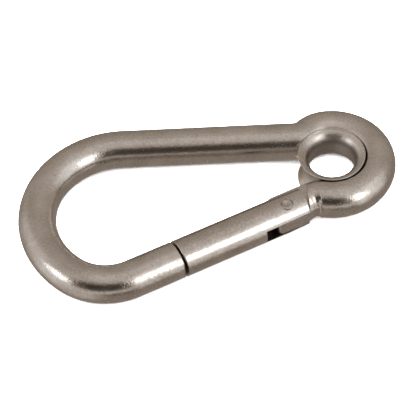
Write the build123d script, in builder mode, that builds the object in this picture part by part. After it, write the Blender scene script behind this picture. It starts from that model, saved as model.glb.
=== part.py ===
from build123d import *
from math import sin, cos, radians, hypot, atan2, degrees, sqrt, pi
import os

os.makedirs("parts", exist_ok=True)

# ---------------------------------------------------------------- driving sizes
# Spring hook with a captive eyelet, bent from 8 mm round bar, 80 mm long.
# Frame: origin in the middle of the eyelet bore, +Z along the bore,
# +X from the bend towards the eye.
bar_d = 8.0
bar_r = bar_d / 2

# pear-shaped centre line
spine_y = 6.95            # straight back of the hook runs along X at this height
spine_x0 = -44.36         # left end of the straight back
arc1_c, arc1_r = (-44.36, -11.14), 18.09
arc2_c, arc2_r = (-42.95, -10.80), 19.54
arc3_c, arc3_r = (-47.69, -16.64), 12.02
arc1_a, arc2_a, arc3_a = 1.81, 0.65, 1.12

gate_dir = 25.12          # direction of the gate line, degrees from +X
nose_p = (-42.59, -27.52) # centre line point where the bend runs out into the nose

# eye
eye_c = (0.15, 0.40)
eye_r = 9.55              # centre-line radius of the eye
crown_r, crown_a = 5.8, 97.0    # tighter bend where the eye runs into the back
spine_s_r = 4.20          # reverse bend between back and eye
neck_s_r = 5.0            # reverse bend between eye and neck
neck_n = 0.30             # neck centre line, inwards from the gate line
neck_frac = 0.55          # where along the reverse bend the forged neck begins
neck_w, neck_h = 3.50, 3.88   # half width and half height of the forged neck
neck_off = 0.60           # its centre, inwards from the gate line
neck_x = 6.5              # from the pivot

# hinge
pivot_s = 35.50           # along the gate line from nose_p
pivot_n = -0.65           # pivot sits outside the gate axis
open_deg = 28.0
lug_t = 2.8               # thickness of the flattened lug
slot_w = 3.4              # slot in the gate
rivet_d = 2.4
rivet_clear = 0.05
dish_r, dish_t = 1.9, 0.24     # dish in each rivet head: radius of its sphere, depth
lug_p0 = 3.60             # pivot to the flat of the lug tip
cam_k = 1.75              # plunger travel per radian of gate swing
lug_in = 4.85             # inner edge of the lug from the pivot
lug_out = 2.90            # outer edge of the lug from the pivot
shoulder_x, shoulder_y, shoulder_m = 4.25, -2.55, 0.30
shoulder_knee, shoulder_m2 = 0.30, 0.50

# gate, measured from the pivot along the gate line
gate_end = 4.28
tip_x = -24.90
nose_x = -25.34
face_slant = 0.06
axis_y = -pivot_n         # gate axis seen from the pivot
slot_end = -6.30
bore_d = 3.2
bore_end = -19.60

# latch: hammer-head tongue on the gate, T slot in the nose, arcs about the pivot
tongue_neck_z = 1.05
tongue_head_z = 1.90
tongue_r0, tongue_r1, tongue_r2 = 24.0, 27.70, 29.20
tongue_y0, tongue_y1 = -1.50, 3.55
latch_gap = 0.27

# plunger and spring
plunger_d = 2.9
plunger_gap = 0.03
plunger_back = -8.60
stem_d = 1.4
stem_end = -12.5
wire_d = 0.6
spring_mean_d = 2.3
spring_x0, spring_x1 = -19.45, -8.70
spring_turns = 10.0

# eyelet
throat_r = 4.78
land_h = 0.50
flange_r = 7.16
flange_z = 3.82
groove_r = 4.25
groove_c = 9.31

# ---------------------------------------------------------------- planes
gd = radians(gate_dir)
D = Vector(cos(gd), sin(gd), 0)
N = Vector(-sin(gd), cos(gd), 0)
P0 = Vector(nose_p[0], nose_p[1], 0)


def at(s, n):
    v = P0 + D * s + N * n
    return (v.X, v.Y)


pivot = P0 + D * pivot_s + N * pivot_n
hinge_plane = Plane(origin=(pivot.X, pivot.Y, 0), x_dir=(D.X, D.Y, 0), z_dir=(0, 0, 1))


def hinge_at(z):
    return Plane(origin=(pivot.X, pivot.Y, z), x_dir=(D.X, D.Y, 0), z_dir=(0, 0, 1))


def gate_section(x):
    # plane square to the gate axis; sketch X points inwards, sketch Y up
    o = pivot + D * x + N * axis_y
    return Plane(origin=(o.X, o.Y, 0), x_dir=(-D.Y, D.X, 0), z_dir=(-D.X, -D.Y, 0))


def rim(part, ctr, reach=4.6, slack=0.5):
    # edges of a bar end: every point close to the plane through ctr
    out = ShapeList()
    for e in part.edges():
        ok = e.length > 3.0
        for t in (0.0, 0.25, 0.5, 0.75, 1.0):
            v = (e @ t) - ctr
            if abs(v.dot(D)) > slack or v.length > reach:
                ok = False
        if ok:
            out.append(e)
    return out


def polar(c, r, a):
    return (c[0] + r * cos(a), c[1] + r * sin(a))


# ---------------------------------------------------------------- centre line
a1 = pi / 2
a2 = a1 + arc1_a
a3 = a2 + arc2_a
a4 = a3 + arc3_a

# reverse bend on the back side: circle outside the bar, touching back and eye
ca = radians(crown_a)
t_crown = (eye_c[0] + eye_r * cos(ca), eye_c[1] + eye_r * sin(ca))
cc = (eye_c[0] + (eye_r - crown_r) * cos(ca), eye_c[1] + (eye_r - crown_r) * sin(ca))
ds = sqrt((crown_r + spine_s_r) ** 2 - (spine_y + spine_s_r - cc[1]) ** 2)
sc = (cc[0] - ds, spine_y + spine_s_r)
f = crown_r / (crown_r + spine_s_r)
t_spine = (cc[0] + (sc[0] - cc[0]) * f, cc[1] + (sc[1] - cc[1]) * f)

# reverse bend on the neck side, worked out along the gate line
cs = (Vector(eye_c[0], eye_c[1], 0) - P0).dot(D)
cn = (Vector(eye_c[0], eye_c[1], 0) - P0).dot(N)
dn = cn - neck_n + neck_s_r
dsn = sqrt((eye_r + neck_s_r) ** 2 - dn ** 2)
nc = at(cs - dsn, neck_n - neck_s_r)
neck_tan = at(cs - dsn, neck_n)
g = eye_r / (eye_r + neck_s_r)
t_neck = (eye_c[0] + (nc[0] - eye_c[0]) * g, eye_c[1] + (nc[1] - eye_c[1]) * g)

ang_spine = ca
ang_neck = atan2(t_neck[1] - eye_c[1], t_neck[0] - eye_c[0])
if ang_neck > 0:
    ang_neck -= 2 * pi
if ang_spine < ang_neck:
    ang_spine += 2 * pi


def arc(c, r, b0, b1):
    return ThreePointArc(polar(c, r, b0), polar(c, r, (b0 + b1) / 2), polar(c, r, b1))


p_sp = polar(arc1_c, arc1_r, a1)
q1 = polar(arc1_c, arc1_r, a2)
q2 = polar(arc2_c, arc2_r, a3)
q3 = polar(arc3_c, arc3_r, a4)

nose_start = at(12.0, 0)

with BuildLine() as centre:
    Line(nose_start, at(0, 0))
    ThreePointArc(at(0, 0), polar(arc3_c, arc3_r, (a3 + a4) / 2), q2)
    ThreePointArc(q2, polar(arc2_c, arc2_r, (a2 + a3) / 2), q1)
    ThreePointArc(q1, polar(arc1_c, arc1_r, (a1 + a2) / 2), (spine_x0, spine_y))
    Line((spine_x0, spine_y), (sc[0], spine_y))
    s0 = atan2(spine_y - sc[1], 0)
    s1 = atan2(t_spine[1] - sc[1], t_spine[0] - sc[0])
    ThreePointArc((sc[0], spine_y), polar(sc, spine_s_r, (s0 + s1) / 2), t_spine)
    k0 = atan2(t_spine[1] - cc[1], t_spine[0] - cc[0])
    ThreePointArc(t_spine, polar(cc, crown_r, (k0 + ca) / 2), t_crown)
    ThreePointArc(t_crown, polar(eye_c, eye_r, (ang_spine + ang_neck) / 2), t_neck)
    n0 = atan2(t_neck[1] - nc[1], t_neck[0] - nc[0])
    n1 = atan2(neck_tan[1] - nc[1], neck_tan[0] - nc[0])
    nq = n0 + (n1 - n0) * neck_frac
    ThreePointArc(t_neck, polar(nc, neck_s_r, (n0 + nq) / 2), polar(nc, neck_s_r, nq))

shoulder_lo = -9.0
shoulder_hi = 9.0


def shoulder(y):
    # slanted face ahead of the gate's end, steeper on the inner side where the gate's corner swings past
    x = shoulder_x + (min(y, shoulder_knee) - shoulder_y) * shoulder_m
    return x + max(0.0, y - shoulder_knee) * shoulder_m2


def cam(phi):
    h = lug_p0 + cam_k * phi
    return (-h * cos(phi) + cam_k * sin(phi), h * sin(phi) + cam_k * cos(phi))


cam_end = radians(open_deg) + 0.02
cam_pts = [cam(cam_end * i / 8) for i in range(9)]
ce = cam_pts[-1]

# ---------------------------------------------------------------- hook body
with BuildPart() as hook_body:
    # round bar bent along the centre line
    with BuildSketch(Plane(origin=(nose_start[0], nose_start[1], 0), x_dir=(0, 0, 1), z_dir=(-D.X, -D.Y, 0))):
        Circle(bar_r)
    sweep(path=centre.wire())

    # nose end face, slightly slanted, with a broken edge
    with BuildSketch(Plane.XY.offset(-6)):
        with BuildLine():
            c1 = hinge_plane.from_local_coords(Vector(nose_x + face_slant * (axis_y - 6.5), 6.5, 0))
            c2 = hinge_plane.from_local_coords(Vector(nose_x + face_slant * (axis_y + 5.5), -5.5, 0))
            c3 = hinge_plane.from_local_coords(Vector(nose_x + 7, -5.5, 0))
            c4 = hinge_plane.from_local_coords(Vector(nose_x + 7, 6.5, 0))
            Polyline((c1.X, c1.Y), (c2.X, c2.Y), (c3.X, c3.Y), (c4.X, c4.Y), (c1.X, c1.Y))
        make_face()
    extrude(amount=12, mode=Mode.SUBTRACT)
    nose_ctr = pivot + D * nose_x + N * axis_y
    fillet(rim(hook_body, nose_ctr), 0.2)
    # outer side of the nose end is dressed back further
    with BuildSketch(hinge_at(-6)):
        with BuildLine():
            Polyline((nose_x + 0.5, axis_y - 3.30), (nose_x - 0.02, axis_y - 3.30), (nose_x - 0.30, axis_y - 4.25), (nose_x + 0.5, axis_y - 4.25), (nose_x + 0.5, axis_y - 3.30))
        make_face()
    extrude(amount=12, mode=Mode.SUBTRACT)

    # neck: the end of the bar is forged narrower on its outer side
    neck_o = pivot + D * neck_x + N * (axis_y + neck_off)
    turn = 1 if n1 > n0 else -1
    for back_by, rr in ((0.24, bar_r - 0.05), (0.04, bar_r - 0.015)):
        nr = nq - (n1 - n0) * back_by
        qp = polar(nc, neck_s_r, nr)
        qt = (-sin(nr) * turn, cos(nr) * turn, 0)
        with BuildSketch(Plane(origin=(qp[0], qp[1], 0), x_dir=(0, 0, 1), z_dir=qt)):
            Circle(rr)
    for dx in (0.0, 1.2):
        no = neck_o - D * dx
        with BuildSketch(Plane(origin=(no.X, no.Y, 0), x_dir=(0, 0, 1), z_dir=(-D.X, -D.Y, 0))):
            Ellipse(neck_h, neck_w)
    loft()
    neck_e = neck_o - D * 1.2
    with BuildSketch(Plane(origin=(neck_e.X, neck_e.Y, 0), x_dir=(0, 0, 1), z_dir=(-D.X, -D.Y, 0))):
        Ellipse(neck_h, neck_w)
    extrude(amount=3.0)

    # shoulder: everything ahead of it above and below the lug is cut away
    for z in (lug_t / 2, -lug_t / 2 - 5):
        with BuildSketch(hinge_at(z)):
            with BuildLine():
                Polyline((-6, -8), (shoulder(-8), -8), (shoulder(shoulder_knee), shoulder_knee), (shoulder(8), 8), (-6, 8), (-6, -8))
            make_face()
        extrude(amount=5, mode=Mode.SUBTRACT)

    # flattened lug with its cam tip
    with BuildSketch(hinge_at(-lug_t / 2)):
        with BuildLine():
            Line((shoulder(lug_in) + 0.6, lug_in - 0.15), (4.0, lug_in))
            Line((4.0, lug_in), (-1.35, lug_in))
            Line((-1.35, lug_in), (-2.45, 4.55))
            Line((-2.45, 4.55), ce)
            Spline(*reversed(cam_pts))
            Line(cam_pts[0], (-lug_p0, -1.30))
            ThreePointArc((-lug_p0, -1.30), (-lug_p0 + 1.6 * (1 - cos(pi / 4)), -1.30 - 1.6 * sin(pi / 4)), (-lug_p0 + 1.6, -lug_out))
            Line((-lug_p0 + 1.6, -lug_out), (3.0, -lug_out))
            Line((3.0, -lug_out), (5.6, -2.13))
            Line((5.6, -2.13), (shoulder(lug_in) + 0.6, -2.10))
            Line((shoulder(lug_in) + 0.6, -2.10), (shoulder(lug_in) + 0.6, lug_in - 0.15))
        make_face()
    extrude(amount=lug_t)
    # rivet hole, a running fit
    with BuildSketch(hinge_at(-5)):
        Circle(rivet_d / 2 + rivet_clear)
    extrude(amount=10, mode=Mode.SUBTRACT)

    # T slot for the latch tongue, open to the inside of the hook
    for r0, r1, hz in ((24.0, tongue_r1 - latch_gap + 0.0, tongue_neck_z + latch_gap - 0.02),
                       (tongue_r1 - latch_gap, tongue_r2 + latch_gap, tongue_head_z + latch_gap - 0.02)):
        y0 = tongue_y0 - latch_gap - 0.05
        y1 = 7.0
        with BuildSketch(hinge_at(-hz)):
            with BuildLine():
                A0 = (-sqrt(r0 ** 2 - y0 ** 2), y0)
                A1 = (-sqrt(r0 ** 2 - y1 ** 2), y1)
                B0 = (-sqrt(r1 ** 2 - y0 ** 2), y0)
                B1 = (-sqrt(r1 ** 2 - y1 ** 2), y1)
                Line(A0, B0)
                ThreePointArc(B0, (-r1 * cos(radians(3)), r1 * sin(radians(3))), B1)
                Line(B1, A1)
                ThreePointArc(A1, (-r0 * cos(radians(3)), r0 * sin(radians(3))), A0)
            make_face()
        extrude(amount=2 * hz, mode=Mode.SUBTRACT)
hook_body.part.label = "hook_body"
export_step(hook_body.part, "parts/hook_body.step")

# ---------------------------------------------------------------- gate
with BuildPart() as gate:
    # round bar, eased down slightly towards the hinge end
    ax_o = pivot + N * axis_y
    with BuildSketch(Plane(origin=(ax_o.X, ax_o.Y, 0), x_dir=(D.X, D.Y, 0), z_dir=(D.Y, -D.X, 0))):
        with BuildLine():
            Line((tip_x - 1.0, 0), (tip_x - 1.0, bar_r))
            Line((tip_x - 1.0, bar_r), (-3.0, bar_r))
            ThreePointArc((-3.0, bar_r), (1.0, bar_r - 0.04), (gate_end, bar_r - 0.14))
            Line((gate_end, bar_r - 0.14), (gate_end + 0.2, bar_r - 0.14))
            Line((gate_end + 0.2, bar_r - 0.14), (gate_end + 0.2, 0))
            Line((gate_end + 0.2, 0), (tip_x - 1.0, 0))
        make_face()
    revolve(axis=Axis((ax_o.X, ax_o.Y, 0), (D.X, D.Y, 0)))
    # slanted tip face with a broken edge
    with BuildSketch(hinge_at(-6)):
        with BuildLine():
            u1 = (tip_x + face_slant * (axis_y - 6.5), 6.5)
            u2 = (tip_x + face_slant * (axis_y + 5.5), -5.5)
            Polyline(u1, u2, (tip_x - 4, -5.5), (tip_x - 4, 6.5), u1)
        make_face()
    extrude(amount=12, mode=Mode.SUBTRACT)
    tip_ctr = pivot + D * tip_x + N * axis_y
    fillet(rim(gate, tip_ctr), 0.2)
    # outer side of the tip carries a wider bevel
    with BuildSketch(hinge_at(-6)):
        with BuildLine():
            Polyline((tip_x - 0.3, axis_y - 2.5), (tip_x + 0.10, axis_y - 2.5), (tip_x + 0.52, axis_y - 4.2), (tip_x - 0.3, axis_y - 4.2), (tip_x - 0.3, axis_y - 2.5))
        make_face()
    extrude(amount=12, mode=Mode.SUBTRACT)
    # slot for the lug
    with BuildSketch(hinge_at(-slot_w / 2)):
        with BuildLine():
            Polyline((slot_end, -8), (gate_end + 2, -8), (gate_end + 2, 8), (slot_end, 8), (slot_end, -8))
        make_face()
    extrude(amount=slot_w, mode=Mode.SUBTRACT)
    # cheek ends are crowned, with the inner corners rounded, so the gate swings past the shoulder
    with BuildSketch(hinge_at(-6)):
        with BuildLine():
            cr = 1.35
            ry = axis_y + 3.62
            ye = ry - cr
            ThreePointArc((3.83, -3.60), (4.19, -0.45), (gate_end, ye))
            ThreePointArc((gate_end, ye), (gate_end - cr * (1 - cos(pi / 4)), ye + cr * sin(pi / 4)), (gate_end - cr, ry))
            Line((gate_end - cr, ry), (gate_end - cr, ry + 2))
            Line((gate_end - cr, ry + 2), (gate_end + 2, ry + 2))
            Line((gate_end + 2, ry + 2), (gate_end + 2, -5.5))
            Line((gate_end + 2, -5.5), (3.83, -5.5))
            Line((3.83, -5.5), (3.83, -3.60))
        make_face()
    extrude(amount=12, mode=Mode.SUBTRACT)
    # rivet holes
    with BuildSketch(hinge_at(-6)):
        Circle(rivet_d / 2)
    extrude(amount=12, mode=Mode.SUBTRACT)
    # blind spring bore with a drill point
    with BuildSketch(gate_section(slot_end + 0.5)):
        Circle(bore_d / 2)
    extrude(amount=slot_end + 0.5 - bore_end, mode=Mode.SUBTRACT)
    with BuildSketch(gate_section(bore_end)):
        Circle(bore_d / 2)
    extrude(amount=0.85, taper=60, mode=Mode.SUBTRACT)
    # hammer-head latch tongue
    for r0, r1, hz in ((tongue_r0, tongue_r1 + 0.2, tongue_neck_z), (tongue_r1, tongue_r2, tongue_head_z)):
        y0, y1 = tongue_y0, tongue_y1
        with BuildSketch(hinge_at(-hz)):
            with BuildLine():
                A0 = (-sqrt(r0 ** 2 - y0 ** 2), y0)
                A1 = (-sqrt(r0 ** 2 - y1 ** 2), y1)
                B0 = (-sqrt(r1 ** 2 - y0 ** 2), y0)
                B1 = (-sqrt(r1 ** 2 - y1 ** 2), y1)
                Line(A0, B0)
                ThreePointArc(B0, (-r1 * cos(radians(2)), r1 * sin(radians(2))), B1)
                Line(B1, A1)
                ThreePointArc(A1, (-r0 * cos(radians(2)), r0 * sin(radians(2))), A0)
            make_face()
        extrude(amount=2 * hz)
gate.part.label = "gate"
export_step(gate.part, "parts/gate.step")

# ---------------------------------------------------------------- hinge rivet
with BuildPart() as hinge_rivet:
    with BuildSketch(hinge_at(-5)):
        Circle(rivet_d / 2)
    extrude(amount=10)
    # ends dressed flush with the round of the gate
    with BuildSketch(gate_section(4.0)):
        Circle(bar_r - 0.03)
    extrude(amount=8.0, mode=Mode.INTERSECT)
    # shallow dish in each head, left by the closing punch
    for m in (1, -1):
        with Locations((pivot.X, pivot.Y, m * (3.90 + dish_r - dish_t))):
            Sphere(dish_r, mode=Mode.SUBTRACT)
hinge_rivet.part.label = "hinge_rivet"
export_step(hinge_rivet.part, "parts/hinge_rivet.step")

# ---------------------------------------------------------------- plunger
face_x = -(lug_p0 + plunger_gap)
with BuildPart() as plunger:
    with BuildSketch(gate_section(face_x)):
        Circle(plunger_d / 2)
    extrude(amount=face_x - plunger_back)
    fc = pivot + D * face_x + N * axis_y
    chamfer(rim(plunger, fc, 1.6, 0.05), 0.15)
    with BuildSketch(gate_section(plunger_back)):
        Circle(stem_d / 2)
    extrude(amount=plunger_back - stem_end)
    sc2 = pivot + D * stem_end + N * axis_y
    chamfer(rim(plunger, sc2, 0.8, 0.05), 0.25)
plunger.part.label = "plunger"
export_step(plunger.part, "parts/plunger.step")

# ---------------------------------------------------------------- gate spring
pitch = (spring_x1 - spring_x0 - wire_d) / spring_turns
so = pivot + D * (spring_x0 + wire_d / 2) + N * axis_y
with BuildPart() as gate_spring:
    with BuildLine() as coil:
        Helix(pitch=pitch, height=pitch * spring_turns, radius=spring_mean_d / 2,
              center=(so.X, so.Y, 0), direction=(D.X, D.Y, 0))
    with BuildSketch(Plane(origin=coil.wire() @ 0, z_dir=coil.wire() % 0)):
        Circle(wire_d / 2)
    sweep(path=coil.wire(), is_frenet=True)
gate_spring.part.label = "gate_spring"
export_step(gate_spring.part, "parts/gate_spring.step")

# ---------------------------------------------------------------- eyelet
with BuildPart() as thimble:
    with BuildSketch(Plane.XZ):
        with BuildLine():
            for m in (1, -1):
                Line((throat_r, 0), (throat_r, m * land_h))
                ThreePointArc((throat_r, m * land_h), (throat_r + 0.732, m * (land_h + 2.30)), (6.74, m * (flange_z - 0.13)))
                ThreePointArc((6.74, m * (flange_z - 0.13)), (6.90, m * (flange_z - 0.03)), (7.02, m * (flange_z - 0.05)))
                gz = sqrt(groove_r ** 2 - (groove_c - 7.08) ** 2)
                ThreePointArc((7.02, m * (flange_z - 0.05)), (flange_r, m * (flange_z + gz) / 2), (7.08, m * gz))
                ga = atan2(gz, 7.08 - groove_c)
                gm = pi - (pi - ga) / 2
                ThreePointArc((7.08, m * gz), (groove_c + groove_r * cos(gm), m * groove_r * sin(gm)), (groove_c - groove_r, 0))
        make_face()
    revolve(axis=Axis.Z)
thimble.part.label = "thimble"
export_step(thimble.part, "parts/thimble.step")

for b in (hook_body, gate, hinge_rivet, plunger, gate_spring, thimble):
    bb = b.part.bounding_box()
    print(b.part.label, "solids", len(b.part.solids()), "valid", b.part.is_valid, "volume", round(b.part.volume, 2),
          [round(v, 2) for v in (bb.min.X, bb.min.Y, bb.min.Z, bb.max.X, bb.max.Y, bb.max.Z)])
print("pivot", round(pivot.X, 4), round(pivot.Y, 4))
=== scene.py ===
import math

import bmesh
import bpy
from mathutils import Matrix, Vector


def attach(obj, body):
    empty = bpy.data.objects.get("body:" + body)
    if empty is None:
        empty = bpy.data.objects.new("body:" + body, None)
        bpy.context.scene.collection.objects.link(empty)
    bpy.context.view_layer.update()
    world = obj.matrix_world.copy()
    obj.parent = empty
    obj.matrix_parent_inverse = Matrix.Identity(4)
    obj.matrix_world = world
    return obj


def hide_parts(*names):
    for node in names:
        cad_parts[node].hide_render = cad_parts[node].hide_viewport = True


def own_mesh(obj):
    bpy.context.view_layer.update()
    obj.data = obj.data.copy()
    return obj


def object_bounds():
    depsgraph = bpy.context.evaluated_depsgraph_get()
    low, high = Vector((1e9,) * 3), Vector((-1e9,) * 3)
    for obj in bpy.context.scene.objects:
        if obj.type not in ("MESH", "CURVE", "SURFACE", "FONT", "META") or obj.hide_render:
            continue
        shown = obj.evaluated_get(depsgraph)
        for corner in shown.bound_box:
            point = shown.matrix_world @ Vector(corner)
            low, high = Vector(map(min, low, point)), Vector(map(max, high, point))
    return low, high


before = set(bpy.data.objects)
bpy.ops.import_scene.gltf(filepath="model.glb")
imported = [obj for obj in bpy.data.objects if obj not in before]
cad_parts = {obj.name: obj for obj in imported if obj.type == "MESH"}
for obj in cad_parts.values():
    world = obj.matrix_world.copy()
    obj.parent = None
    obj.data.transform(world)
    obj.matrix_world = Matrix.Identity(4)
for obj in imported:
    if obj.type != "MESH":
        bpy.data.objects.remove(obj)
cad_lo, cad_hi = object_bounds()
scene = bpy.context.scene
MM = 0.001


# ---------------------------------------------------------------- node helpers
class Net:
    """A material's nodes. Every value is in metres of the row frame, read from object coordinates."""

    def __init__(self, name):
        self.mat = bpy.data.materials.new(name)
        self.mat.use_nodes = True
        self.t = self.mat.node_tree
        self.t.nodes.clear()
        self.out = self.t.nodes.new("ShaderNodeOutputMaterial")
        self.bsdf = self.t.nodes.new("ShaderNodeBsdfPrincipled")
        self.link(self.bsdf.outputs["BSDF"], self.out.inputs["Surface"])
        self.co = self.t.nodes.new("ShaderNodeTexCoord").outputs["Object"]

    def link(self, a, b):
        self.t.links.new(a, b)

    def put(self, sock, v):
        if isinstance(v, bpy.types.NodeSocket):
            self.link(v, sock)
        else:
            sock.default_value = v

    def mapping(self, rot=(0, 0, 0), scale=(1, 1, 1), co=None):
        n = self.t.nodes.new("ShaderNodeMapping")
        n.vector_type = "TEXTURE"
        self.link(co or self.co, n.inputs["Vector"])
        n.inputs["Rotation"].default_value = rot
        n.inputs["Scale"].default_value = scale
        return n.outputs["Vector"]

    def noise(self, size, detail=3.0, rough=0.5, co=None, distort=0.0):
        """Noise whose features are about size metres across."""
        n = self.t.nodes.new("ShaderNodeTexNoise")
        n.noise_dimensions = "3D"
        self.link(co or self.co, n.inputs["Vector"])
        n.inputs["Scale"].default_value = 1.0 / size
        n.inputs["Detail"].default_value = detail
        n.inputs["Roughness"].default_value = rough
        n.inputs["Distortion"].default_value = distort
        return n.outputs["Fac"]

    def cells(self, size, co=None, feature="F1"):
        n = self.t.nodes.new("ShaderNodeTexVoronoi")
        n.feature = feature
        self.link(co or self.co, n.inputs["Vector"])
        n.inputs["Scale"].default_value = 1.0 / size
        return n.outputs["Distance"]

    def ramp(self, fac, stops, mode="LINEAR"):
        n = self.t.nodes.new("ShaderNodeValToRGB")
        n.color_ramp.interpolation = mode
        els = n.color_ramp.elements
        while len(els) < len(stops):
            els.new(0.5)
        for e, (p, c) in zip(els, stops):
            e.position = p
            e.color = (c, c, c, 1.0) if isinstance(c, (int, float)) else (*c, 1.0)
        self.link(fac, n.inputs["Fac"])
        return n.outputs["Color"]

    def math(self, op, a, b=0.0, clamp=False):
        n = self.t.nodes.new("ShaderNodeMath")
        n.operation = op
        n.use_clamp = clamp
        self.put(n.inputs[0], a)
        self.put(n.inputs[1], b)
        return n.outputs[0]

    def mixc(self, fac, a, b, blend="MIX"):
        n = self.t.nodes.new("ShaderNodeMix")
        n.data_type = "RGBA"
        n.blend_type = blend
        n.clamp_factor = True
        self.put(n.inputs[0], fac)
        self.put(n.inputs[6], a if isinstance(a, bpy.types.NodeSocket) else (*a, 1.0))
        self.put(n.inputs[7], b if isinstance(b, bpy.types.NodeSocket) else (*b, 1.0))
        return n.outputs[2]

    def bump(self, height, depth, strength=1.0, normal=None):
        n = self.t.nodes.new("ShaderNodeBump")
        self.link(height, n.inputs["Height"])
        n.inputs["Distance"].default_value = depth
        n.inputs["Strength"].default_value = strength
        if normal is not None:
            self.link(normal, n.inputs["Normal"])
        return n.outputs["Normal"]

    def pointy(self):
        return self.t.nodes.new("ShaderNodeNewGeometry").outputs["Pointiness"]


PIVOT = Vector((-0.0101716, -0.0130382, 0.0))
GATE_RUN = math.radians(25.12)
GD = Vector((math.cos(GATE_RUN), math.sin(GATE_RUN), 0.0))  # along the gate, toward the eye
GN = Vector((-math.sin(GATE_RUN), math.cos(GATE_RUN), 0.0))  # toward the inside of the loop


def along(m, axis, origin=Vector((0, 0, 0))):
    """Distance from origin along axis, as a socket."""
    n = m.t.nodes.new("ShaderNodeVectorMath")
    n.operation = "DOT_PRODUCT"
    m.link(m.co, n.inputs[0])
    n.inputs[1].default_value = axis
    return m.math("SUBTRACT", n.outputs["Value"], origin.dot(axis))


def xyz(m):
    n = m.t.nodes.new("ShaderNodeSeparateXYZ")
    m.link(m.co, n.inputs[0])
    return n.outputs["X"], n.outputs["Y"], n.outputs["Z"]


def polar(m, cx, cy, radius):
    """Coordinates that follow a bend: arc length, distance from its centre, height."""
    x, y, z = xyz(m)
    dx, dy = m.math("SUBTRACT", x, cx), m.math("SUBTRACT", y, cy)
    r = m.math("SQRT", m.math("ADD", m.math("MULTIPLY", dx, dx), m.math("MULTIPLY", dy, dy)))
    n = m.t.nodes.new("ShaderNodeCombineXYZ")
    m.link(m.math("MULTIPLY", m.math("ARCTAN2", dy, dx), radius), n.inputs[0])
    m.link(r, n.inputs[1])
    m.link(z, n.inputs[2])
    return n.outputs[0]


def step(m, v, lo, hi):
    n = m.t.nodes.new("ShaderNodeMapRange")
    n.interpolation_type = "SMOOTHSTEP"
    m.link(v, n.inputs["Value"])
    n.inputs["From Min"].default_value = lo
    n.inputs["From Max"].default_value = hi
    return n.outputs["Result"]


def lines_on_bar(m, size, stretch):
    """Buffing lines that run along the body's bar: straight on the back and the nose, round the bend and the eye."""

    def field(co, rot=0.0):
        return m.noise(size, 3.0, 0.65, m.mapping((0, 0, rot), (stretch, 1.0, 1.0), co))

    x, y, _ = xyz(m)
    eye = field(polar(m, 0.00015, 0.0004, 0.0095))
    bend = field(polar(m, -0.0445, -0.0110, 0.0180))
    back_ = field(m.co)
    nose = field(m.co, GATE_RUN)
    low = step(m, y, -0.012, -0.016)
    mid = m.mixc(low, back_, nose)
    out = m.mixc(step(m, x, -0.043, -0.047), mid, bend)
    return m.mixc(step(m, x, -0.0115, -0.0080), out, eye)


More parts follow.
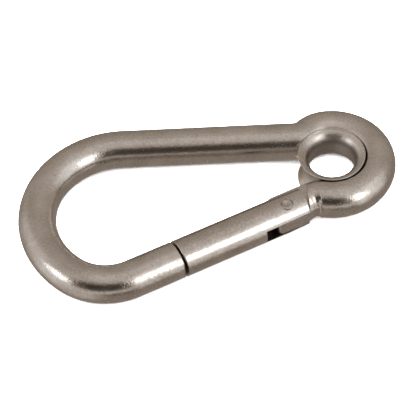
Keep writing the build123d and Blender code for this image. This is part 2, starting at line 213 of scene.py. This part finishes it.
def stainless(
    name,
    tone=(0.655, 0.602, 0.552),
    low=(0.500, 0.445, 0.395),
    rough=(0.08, 0.15),
    grain=0.6,
    pits=0.5,
    scratch=0.5,
    run=0.0,
    edge=0.6,
    follow=False,
    inside=None,
    ring=None,
):
    """Polished stainless bar stock: warm blotches, fine buffing grain along the bar, short crossing scratches, small
    irregular pits in patches, brighter broken edges, and painted shade: near-black colour in the gaps. inside(m)
    gives the hollows that get the same painted shade, ring(m) the dark joint line round the rivet."""
    m = Net(name)
    # Blotches in tone, 3 to 8 mm across, and a finer mottling.
    wide = m.noise(6.0 * MM, 3.0, 0.55)
    fine = m.noise(0.50 * MM, 4.0, 0.70)
    blot = m.math("ADD", m.math("MULTIPLY", wide, 0.50), m.math("MULTIPLY", fine, 0.50))
    colour = m.ramp(blot, [(0.37, low), (0.60, tone)])
    if follow:
        lines = lines_on_bar(m, 0.17 * MM, 14.0)
    else:
        lines = m.noise(0.17 * MM, 3.0, 0.65, m.mapping((0, 0, run), (14.0, 1.0, 1.0)))
    # Two families of short crossing scratches.
    s1 = m.noise(0.30 * MM, 1.0, 0.4, m.mapping((0.4, 0.3, run + 0.9), (13.0, 0.35, 0.35)))
    s2 = m.noise(0.34 * MM, 1.0, 0.4, m.mapping((-0.5, 0.2, run - 0.7), (11.0, 0.35, 0.35)))
    s1 = m.ramp(s1, [(0.67, 0.0), (0.74, 1.0)])
    s2 = m.ramp(s2, [(0.67, 0.0), (0.74, 1.0)])
    scr = m.math("MAXIMUM", s1, s2)
    # Pits: the low spots of a fine noise, kept only where a broad patch allows them.
    patch = m.ramp(m.noise(3.2 * MM, 2.0, 0.6), [(0.42, 0.0), (0.60, 1.0)])
    pit = m.math("MULTIPLY", m.ramp(m.noise(0.30 * MM, 2.0, 0.7, distort=0.4), [(0.60, 0.0), (0.70, 1.0)]), patch)
    # Broken edges: where the rounded normal leaves the true one. Painted shade: where the surface sees little, the
    # colour is darkened.
    bev = m.t.nodes.new("ShaderNodeBevel")
    bev.samples = 6
    bev.inputs["Radius"].default_value = 0.14 * MM
    geo = m.t.nodes.new("ShaderNodeNewGeometry")
    dot = m.t.nodes.new("ShaderNodeVectorMath")
    dot.operation = "DOT_PRODUCT"
    m.link(bev.outputs["Normal"], dot.inputs[0])
    m.link(geo.outputs["Normal"], dot.inputs[1])
    worn = m.ramp(m.math("SUBTRACT", 1.0, dot.outputs["Value"]), [(0.02, 0.0), (0.22, 1.0)])
    ao = m.t.nodes.new("ShaderNodeAmbientOcclusion")
    ao.samples = 8
    ao.inputs["Distance"].default_value = 0.9 * MM
    painted_gap_shade = m.ramp(ao.outputs["AO"], [(0.18, 1.0), (0.62, 0.0)])
    worn = m.math("MULTIPLY", worn, m.math("SUBTRACT", 1.0, painted_gap_shade))
    colour = m.mixc(m.math("MULTIPLY", pit, 0.50 * pits), colour, (0.16, 0.135, 0.115))
    colour = m.mixc(m.math("MULTIPLY", scr, 0.22 * scratch), colour, (0.36, 0.325, 0.29))
    colour = m.mixc(m.math("MULTIPLY", worn, edge), colour, (0.76, 0.72, 0.675))
    # Painted shade in the gaps and hollows, joined with the rivet's dark joint line.
    painted_shade_and_joint = painted_gap_shade
    if inside is not None:
        painted_shade_and_joint = m.math("MAXIMUM", painted_shade_and_joint, inside(m))
    if ring is not None:
        painted_shade_and_joint = m.math("MAXIMUM", painted_shade_and_joint, m.math("MULTIPLY", ring(m), 0.85))
    # Near-black colour: painted shade in gaps and hollows, and the joint line's own dark.
    colour = m.mixc(m.math("MULTIPLY", painted_shade_and_joint, 0.86), colour, (0.085, 0.070, 0.058))
    m.link(colour, m.bsdf.inputs["Base Color"])
    # Roughness: satin between polished patches, duller in pits, scratches and gaps.
    r = m.ramp(
        m.math("ADD", m.math("MULTIPLY", wide, 0.5), m.math("MULTIPLY", lines, 0.5)),
        [(0.34, rough[0]), (0.66, rough[1])],
    )
    # The tumbled skin is speckled: satin specks of 0.2 to 0.4 mm between brighter ones.
    speck = m.ramp(m.noise(0.42 * MM, 3.0, 0.6), [(0.47, 0.0), (0.58, 1.0)])
    r = m.math("ADD", r, m.math("MULTIPLY", speck, 0.12 * grain))
    r = m.math("ADD", r, m.math("MULTIPLY", pit, 0.22 * pits))
    r = m.math("ADD", r, m.math("MULTIPLY", scr, 0.12 * scratch))
    r = m.math("ADD", r, m.math("MULTIPLY", painted_shade_and_joint, 0.25), clamp=True)
    m.link(r, m.bsdf.inputs["Roughness"])
    # Bump: slow waviness of hand polishing, the orange peel of the tumbled skin, then grain, scratches and pits.
    n = m.bump(m.noise(2.8 * MM, 2.0, 0.5), 0.032 * MM, 0.6, bev.outputs["Normal"])
    n = m.bump(lines, 0.0045 * MM, grain, n)
    n = m.bump(m.noise(0.95 * MM, 2.0, 0.55), 0.040 * MM, grain, n)
    n = m.bump(m.noise(0.40 * MM, 4.0, 0.70), 0.048 * MM, grain, n)
    n = m.bump(m.math("MULTIPLY", scr, -1.0), 0.0035 * MM, scratch, n)
    n = m.bump(m.math("MULTIPLY", pit, -1.0), 0.010 * MM, pits, n)
    m.link(n, m.bsdf.inputs["Normal"])
    m.bsdf.inputs["Metallic"].default_value = 1.0
    m.bsdf.inputs["IOR"].default_value = 2.0
    return m.mat


def paint(node, mat):
    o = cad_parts[node]
    for i in range(max(1, len(o.data.materials))):
        if i < len(o.data.materials):
            o.data.materials[i] = mat
        else:
            o.data.materials.append(mat)


def gate_hollow_shade(m):
    """1 on the walls of the lug's slot and of the spring's bore, which get painted shade."""
    x, y, z = along(m, GD, PIVOT), along(m, GN, PIVOT + GN * 0.00065), xyz(m)[2]
    slot = m.math("MULTIPLY", step(m, m.math("ABSOLUTE", z), 0.00176, 0.00171), step(m, x, -0.00640, -0.00634))
    r = m.math("SQRT", m.math("ADD", m.math("MULTIPLY", y, y), m.math("MULTIPLY", z, z)))
    bore = m.math("MULTIPLY", step(m, r, 0.00168, 0.00163), step(m, x, -0.0235, -0.0230))
    return m.math("MAXIMUM", slot, bore)


def latch_hollow_shade(m):
    """1 on the walls of the nose's T slot, which get painted shade."""
    x, y, z = along(m, GD, PIVOT), along(m, GN, PIVOT + GN * 0.00065), xyz(m)[2]
    deep = m.math("MULTIPLY", step(m, x, -0.02560, -0.02566), step(m, x, -0.0302, -0.0299))
    return m.math("MULTIPLY", deep, step(m, m.math("ADD", m.math("MULTIPLY", y, y), m.math("MULTIPLY", z, z)), 1.33e-5, 1.26e-5))


def eyelet_bore_shade(m):
    """Up to 0.55 on the narrow middle of the eyelet's bore: painted shade on the bore's wall."""
    x, y, z = xyz(m)
    r = m.math("SQRT", m.math("ADD", m.math("MULTIPLY", x, x), m.math("MULTIPLY", y, y)))
    return m.math("MULTIPLY", step(m, r, 0.0058, 0.0049), 0.55)


def rivet_line(m):
    """Up to 1 on the thin joint line round the rivet, on the outside of the cheeks only. It fades where the head was
    swaged tight."""
    x, y, z = along(m, GD, PIVOT), along(m, GN, PIVOT), xyz(m)[2]
    r = m.math("SQRT", m.math("ADD", m.math("MULTIPLY", x, x), m.math("MULTIPLY", y, y)))
    off = m.math("ABSOLUTE", m.math("SUBTRACT", r, 0.00120))
    tight = m.ramp(m.noise(1.1 * MM, 1.0, 0.5), [(0.40, 0.15), (0.56, 1.0)])
    line = m.math("MULTIPLY", step(m, off, 0.00020, 0.00007), step(m, m.math("ABSOLUTE", z), 0.0025, 0.0028))
    return m.math("MULTIPLY", line, tight)


paint("hook_body", stainless("spring_hook_body_polish", follow=True, pits=0.8, inside=latch_hollow_shade))
paint("gate", stainless("gate_polish", run=GATE_RUN, pits=0.35, rough=(0.07, 0.14), inside=gate_hollow_shade, ring=rivet_line))
paint(
    "hinge_rivet",
    stainless("rivet_ground", tone=(0.60, 0.545, 0.50), low=(0.44, 0.39, 0.345), rough=(0.16, 0.30), grain=1.0, run=1.1, ring=rivet_line),
)


def coil_spring():
    """The gate's spring, wound again as a mesh: 10 turns of 0.6 mm wire
    with tapered ends."""
    wire, mean, turns, sides, around = 0.0003, 0.00115, 10.0, 14, 40
    x0, x1 = -0.01945, -0.00870
    axis = PIVOT + GN * 0.00065
    up = Vector((0, 0, 1))
    bm = bmesh.new()
    rings = []
    steps = int(turns * around)
    for i in range(steps + 1):
        t = i / steps
        ease = min(1.0, min(t, 1 - t) * turns * 2)
        a = 2 * math.pi * turns * t
        x = x0 + wire + (x1 - x0 - 2 * wire) * t
        out = GN * math.cos(a) + up * math.sin(a)
        c = axis + GD * x + out * mean
        r = wire * (0.55 + 0.45 * ease)
        rings.append([bm.verts.new(c + (out * math.cos(q) + GD * math.sin(q)) * r) for q in (2 * math.pi * k / sides for k in range(sides))])
    for p, q in zip(rings, rings[1:]):
        for k in range(sides):
            bm.faces.new((p[k], p[(k + 1) % sides], q[(k + 1) % sides], q[k]))
    bm.faces.new(rings[0][::-1])
    bm.faces.new(rings[-1])
    bmesh.ops.recalc_face_normals(bm, faces=bm.faces)
    for f in bm.faces:
        f.smooth = len(f.verts) == 4
    me = bpy.data.meshes.new("spring_coil")
    bm.to_mesh(me)
    bm.free()
    o = bpy.data.objects.new("spring_coil", me)
    scene.collection.objects.link(o)
    o.data.materials.append(
        stainless("spring_wire", tone=(0.40, 0.375, 0.35), low=(0.28, 0.26, 0.24), rough=(0.24, 0.36), run=0.3)
    )
    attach(o, "gate")
    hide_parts("gate_spring")
    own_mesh(o)


coil_spring()

# The plunger's near-black tone is painted shade: it sits in the gate's slot, where shade falls.
paint("plunger", stainless("plunger_turned_painted_shade", tone=(0.22, 0.20, 0.18), low=(0.12, 0.108, 0.098), rough=(0.32, 0.46), run=GATE_RUN + 1.57))
paint(
    "thimble",
    stainless("eyelet_pressed", tone=(0.66, 0.605, 0.55), low=(0.54, 0.485, 0.43), rough=(0.22, 0.34), pits=0.5, run=0.8, inside=eyelet_bore_shade),
)


# ---------------------------------------------------------------- stage
def floor():
    """A pale paper sweep: flat under the hook, turning up into a wall all round, far away."""
    turns, rows = 96, []
    for i in range(1, 17):
        rows.append((1.5 * i / 16, 0.0))
    for i in range(1, 17):
        a = math.pi / 2 * i / 16
        rows.append((1.5 + 0.9 * math.sin(a), 0.9 * (1 - math.cos(a))))
    rows.append((2.4, 2.6))
    z0 = cad_lo.z - 0.00005
    verts, faces = [(-0.026, -0.01, z0)], []
    for r, h in rows:
        for k in range(turns):
            t = 2 * math.pi * k / turns
            verts.append((-0.026 + r * math.cos(t), -0.01 + r * math.sin(t), z0 + h))
    for k in range(turns):
        faces.append((0, 1 + k, 1 + (k + 1) % turns))
    for j in range(len(rows) - 1):
        for k in range(turns):
            p, q = 1 + j * turns, 1 + (j + 1) * turns
            faces.append((p + k, q + k, q + (k + 1) % turns, p + (k + 1) % turns))
    me = bpy.data.meshes.new("studio_floor")
    me.from_pydata(verts, [], faces)
    me.shade_smooth()
    o = bpy.data.objects.new("studio_floor", me)
    scene.collection.objects.link(o)
    m = Net("studio_floor_paper")
    c = m.ramp(m.noise(12.0 * MM, 3.0, 0.6), [(0.3, (0.86, 0.86, 0.86)), (0.7, (0.88, 0.88, 0.88))])
    m.link(c, m.bsdf.inputs["Base Color"])
    m.bsdf.inputs["Roughness"].default_value = 0.9
    m.bsdf.inputs["Specular IOR Level"].default_value = 0.1
    me.materials.append(m.mat)
    o.visible_glossy = False


floor()


def softbox(name, loc, aim, size, watts, tint=(1, 1, 1), seen=True):
    l = bpy.data.lights.new(name, "AREA")
    l.shape = "RECTANGLE"
    l.size, l.size_y = size
    l.energy = watts
    l.color = tint
    o = bpy.data.objects.new(name, l)
    o.location = loc
    o.rotation_mode = "QUATERNION"
    o.rotation_quaternion = (Vector(aim) - Vector(loc)).to_track_quat("-Z", "Y")
    o.visible_camera = False
    o.visible_glossy = seen
    scene.collection.objects.link(o)
    return o


C = Vector((-0.026, -0.01, 0.0))
# The floor's own light: broad, from straight above, and left out of the metal's reflections, as the floor is, so that
# the steel shows a studio of grey walls and two soft boxes, and stands on a clean white sheet.
softbox("overhead_fill", (C.x, C.y, 1.6), C, (2.6, 2.6), 230.0, seen=False)


def toward(az, theta):
    """A unit vector: az degrees from +Y toward +X, theta degrees from +Z."""
    a, t = math.radians(az), math.radians(theta)
    return Vector((math.sin(a) * math.sin(t), math.cos(a) * math.sin(t), math.cos(t)))


# Two real soft boxes, in front of the hook to its left and its right.
softbox("left_box", C + toward(-112, 68) * 1.1, C, (0.40, 0.34), 0.80, (0.965, 1.0, 1.02))
softbox("right_box", C + toward(134, 58) * 1.1, C, (0.26, 0.60), 1.0, (0.965, 1.0, 1.02))

world = bpy.data.worlds.new("studio")
scene.world = world
world.use_nodes = True
wt = world.node_tree
bg = wt.nodes["Background"]
tc = wt.nodes.new("ShaderNodeTexCoord")


def wmath(op, x, y=0.0, clamp=False):
    n = wt.nodes.new("ShaderNodeMath")
    n.operation = op
    n.use_clamp = clamp
    for i, v in enumerate((x, y)):
        if isinstance(v, bpy.types.NodeSocket):
            wt.links.new(v, n.inputs[i])
        else:
            n.inputs[i].default_value = v
    return n.outputs[0]


def lobe(az, theta, inner, outer, amount):
    """amount within inner degrees of the direction, easing to nothing at outer degrees."""
    d = wt.nodes.new("ShaderNodeVectorMath")
    d.operation = "DOT_PRODUCT"
    wt.links.new(tc.outputs["Generated"], d.inputs[0])
    d.inputs[1].default_value = toward(az, theta)
    m = wt.nodes.new("ShaderNodeMapRange")
    m.interpolation_type = "SMOOTHSTEP"
    m.inputs["From Min"].default_value = math.cos(math.radians(outer))
    m.inputs["From Max"].default_value = math.cos(math.radians(inner))
    m.inputs["To Max"].default_value = amount
    wt.links.new(d.outputs["Value"], m.inputs["Value"])
    return m.outputs["Result"]


sx = wt.nodes.new("ShaderNodeSeparateXYZ")
wt.links.new(tc.outputs["Generated"], sx.inputs[0])
mr = wt.nodes.new("ShaderNodeMapRange")
mr.inputs["From Min"].default_value = -1.0
mr.inputs["From Max"].default_value = 1.0
wt.links.new(sx.outputs["Z"], mr.inputs["Value"])
rp = wt.nodes.new("ShaderNodeValToRGB")
els = rp.color_ramp.elements
# From straight below to straight above: a grey-brown table, the far wall, the ceiling.
stops = [(0.0, 0.30), (0.25, 0.29), (0.40, 0.29), (0.47, 0.34), (0.60, 0.38), (0.78, 0.43), (0.93, 0.47), (1.0, 0.47)]
while len(els) < len(stops):
    els.new(0.5)
for e, (p, c) in zip(els, stops):
    e.position = p
    e.color = (c, c, c, 1.0)
wt.links.new(mr.outputs["Result"], rp.inputs["Fac"])
light = rp.outputs["Color"]
ADD = [
    (-113, 68, 8, 21, 0.62),  # glow round the left box
    (-100, 72, 14, 60, 0.24),
    (-75, 95, 10, 50, 0.14),
    (134, 46, 4, 15, 0.40),  # glow round the right box
    (135, 60, 5, 18, 0.93),
    (137, 76, 4, 15, 0.50),
    (112, 56, 8, 40, 0.51),
    (108, 18, 6, 40, 0.15),
    (0, 0, 4, 26, 0.08),
    (104, 89, 6, 24, 0.26),
    (132, 92, 4, 16, 0.50),
    (136, 104, 3, 12, 0.34),
    (-125, 112, 18, 46, 0.32),  # light spilt on the table at the left
    (180, 89, 5, 14, 0.30),  # the pale strip of the table's edge, low in front
    (-160, 90, 5, 15, 0.24),
    (158, 90, 5, 15, 0.32),
]
CUT = [
    (166, 57, 10, 28, 0.62),  # the dark behind the camera
    (-170, 58, 16, 30, 0.64),
    (-144, 58, 14, 27, 0.70),
    (176, 103, 3, 11, 0.60),  # the table's far side, in shade
    (155, 106, 3, 12, 0.50),
    (0, 88, 10, 50, 0.08),
]
for spec in ADD:
    light = wmath("ADD", light, lobe(*spec))
for az, th, i, o, k in CUT:
    light = wmath("MULTIPLY", light, wmath("SUBTRACT", 1.0, lobe(az, th, i, o, k)))
# Dim walls are warm, the boxes and their glow are neutral.
tint = wt.nodes.new("ShaderNodeValToRGB")
tint.color_ramp.elements[0].position = 0.30
tint.color_ramp.elements[0].color = (1.10, 0.965, 0.845, 1.0)
tint.color_ramp.elements[1].position = 0.90
tint.color_ramp.elements[1].color = (0.99, 1.0, 1.01, 1.0)
wt.links.new(light, tint.inputs["Fac"])
wt.links.new(tint.outputs["Color"], bg.inputs["Color"])
wt.links.new(light, bg.inputs["Strength"])

# ---------------------------------------------------------------- camera
AZ, EL, DIST = math.radians(0.3313), math.radians(52.0), 0.457004
ROLL = math.radians(-2.8477)
AIM = Vector((-0.0267028, -0.0099262, 0.0))
back = Vector((math.sin(AZ) * math.cos(EL), -math.cos(AZ) * math.cos(EL), math.sin(EL)))
right = (-back).cross(Vector((0, 0, 1))).normalized()
up = right.cross(-back)
r2 = right * math.cos(ROLL) + up * math.sin(ROLL)
u2 = up * math.cos(ROLL) - right * math.sin(ROLL)
cam_data = bpy.data.cameras.new("photo_camera")
cam_data.sensor_width = 36.0
cam_data.lens = 189.01
cam_data.clip_start, cam_data.clip_end = 0.01, 10.0
cam = bpy.data.objects.new("photo_camera", cam_data)
rot = Matrix((r2, u2, back)).transposed()
cam.matrix_world = Matrix.Translation(AIM + back * DIST) @ rot.to_4x4()
scene.collection.objects.link(cam)
scene.camera = cam

scene.view_settings.view_transform = "Standard"
scene.view_settings.look = "None"
scene.view_settings.exposure = 0.0
